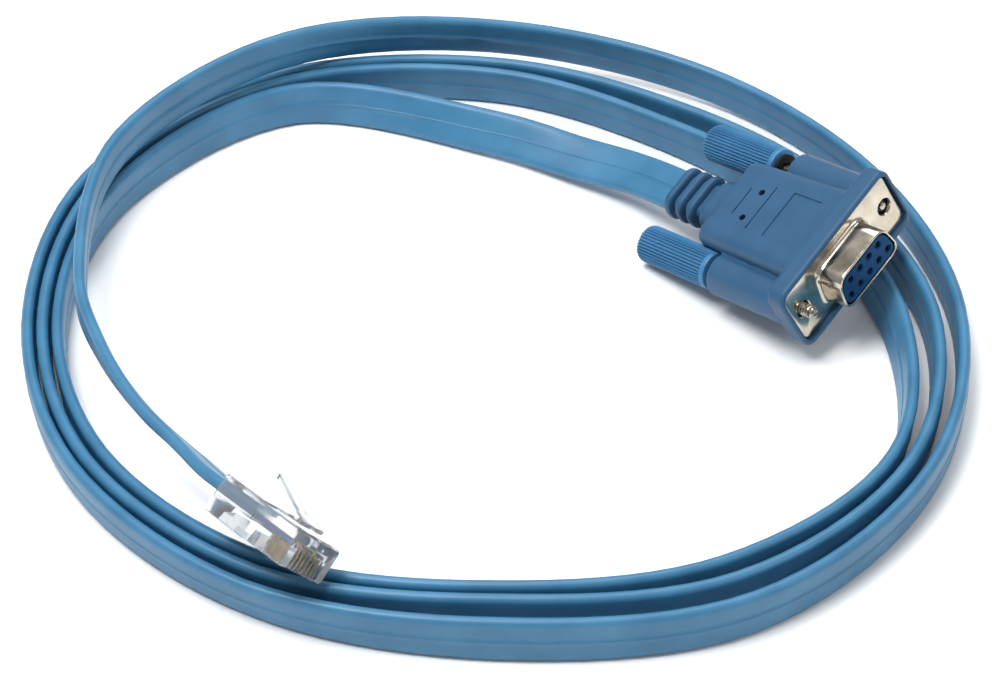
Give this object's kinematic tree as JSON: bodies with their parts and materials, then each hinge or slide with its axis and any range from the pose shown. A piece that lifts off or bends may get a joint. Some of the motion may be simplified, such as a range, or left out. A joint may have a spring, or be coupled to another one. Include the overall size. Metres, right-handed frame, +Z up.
{
  "type": "rj45 console cable",
  "caption": "Flat console cable in a loose coil: moulded D connector hood with ribbed strain relief and thumbscrews at one end, clear modular plug at the other.",
  "frame": {"origin": "on the floor, under the middle of the whole object", "axes": "+Z up, the shortest extent; the picture looks along +Y and down, with +X to its right; the D connector faces right and towards the viewer"},
  "size_m": [0.1744, 0.1716, 0.0303],
  "materials": {
    "cable_jacket": "satin light blue PVC jacket",
    "hood": "satin blue moulded PVC",
    "shell": "bright nickel-plated pressed steel",
    "insulator": "satin dark blue moulding",
    "clear_plug": "clear glossy polycarbonate",
    "contact_gold": "gold-plated",
    "knob": "satin blue moulding",
    "screw_steel": "nickel-plated steel",
    "wire_insulation_1": "satin coloured insulation",
    "wire_insulation_2": "satin coloured insulation",
    "wire_insulation_3": "satin coloured insulation",
    "wire_insulation_4": "satin coloured insulation",
    "wire_insulation_5": "satin coloured insulation",
    "wire_insulation_6": "satin coloured insulation",
    "wire_insulation_7": "satin coloured insulation",
    "wire_insulation_8": "satin coloured insulation"
  },
  "bodies": {
    "cable": {"flat_cable": "cable_jacket", "db9_hood": "hood", "db9_shell": "shell", "db9_insulator": "insulator", "socket_contact_1": "contact_gold", "socket_contact_2": "contact_gold", "socket_contact_3": "contact_gold", "socket_contact_4": "contact_gold", "socket_contact_5": "contact_gold", "socket_contact_6": "contact_gold", "socket_contact_7": "contact_gold", "socket_contact_8": "contact_gold", "socket_contact_9": "contact_gold", "rj45_plug_body": "clear_plug", "rj45_contact_1": "contact_gold", "rj45_contact_2": "contact_gold", "rj45_contact_3": "contact_gold", "rj45_contact_4": "contact_gold", "rj45_contact_5": "contact_gold", "rj45_contact_6": "contact_gold", "rj45_contact_7": "contact_gold", "rj45_contact_8": "contact_gold", "conductor_1": "wire_insulation_1", "conductor_2": "wire_insulation_2", "conductor_3": "wire_insulation_3", "conductor_4": "wire_insulation_4", "conductor_5": "wire_insulation_5", "conductor_6": "wire_insulation_6", "conductor_7": "wire_insulation_7", "conductor_8": "wire_insulation_8"},
    "screw_slide_1": {"screw_washer_1": "screw_steel"},
    "thumbscrew_1": {"thumbscrew_knob_1": "knob", "jackscrew_1": "screw_steel"},
    "screw_slide_2": {"screw_washer_2": "screw_steel"},
    "thumbscrew_2": {"thumbscrew_knob_2": "knob", "jackscrew_2": "screw_steel"},
    "plug_latch": {"rj45_latch": "clear_plug"}
  },
  "joints": [
    {"name": "screw_1_slide", "type": "slide", "parent": "cable", "child": "screw_slide_1", "axis": [0.6506, -0.7326, 0.1999], "range_m": [-0.004, 0.0001]},
    {"name": "screw_1_turn", "type": "hinge", "parent": "screw_slide_1", "child": "thumbscrew_1", "pos_m": [0.03681, 0.01316, 0.00597], "axis": [0.6506, -0.7326, 0.1999], "continuous": true},
    {"name": "screw_2_slide", "type": "slide", "parent": "cable", "child": "screw_slide_2", "axis": [0.6506, -0.7326, 0.1999], "range_m": [-0.0008, 0.0033]},
    {"name": "screw_2_turn", "type": "hinge", "parent": "screw_slide_2", "child": "thumbscrew_2", "pos_m": [0.05215, 0.02971, 0.01673], "axis": [0.6506, -0.7326, 0.1999], "continuous": true},
    {"name": "latch_press", "type": "hinge", "parent": "cable", "child": "plug_latch", "pos_m": [-0.02972, -0.07398, 0.01909], "axis": [-0.5341, -0.3546, 0.7675], "range_deg": [0, 15], "stiffness_Nm_per_rad": 0.05}
  ]
}
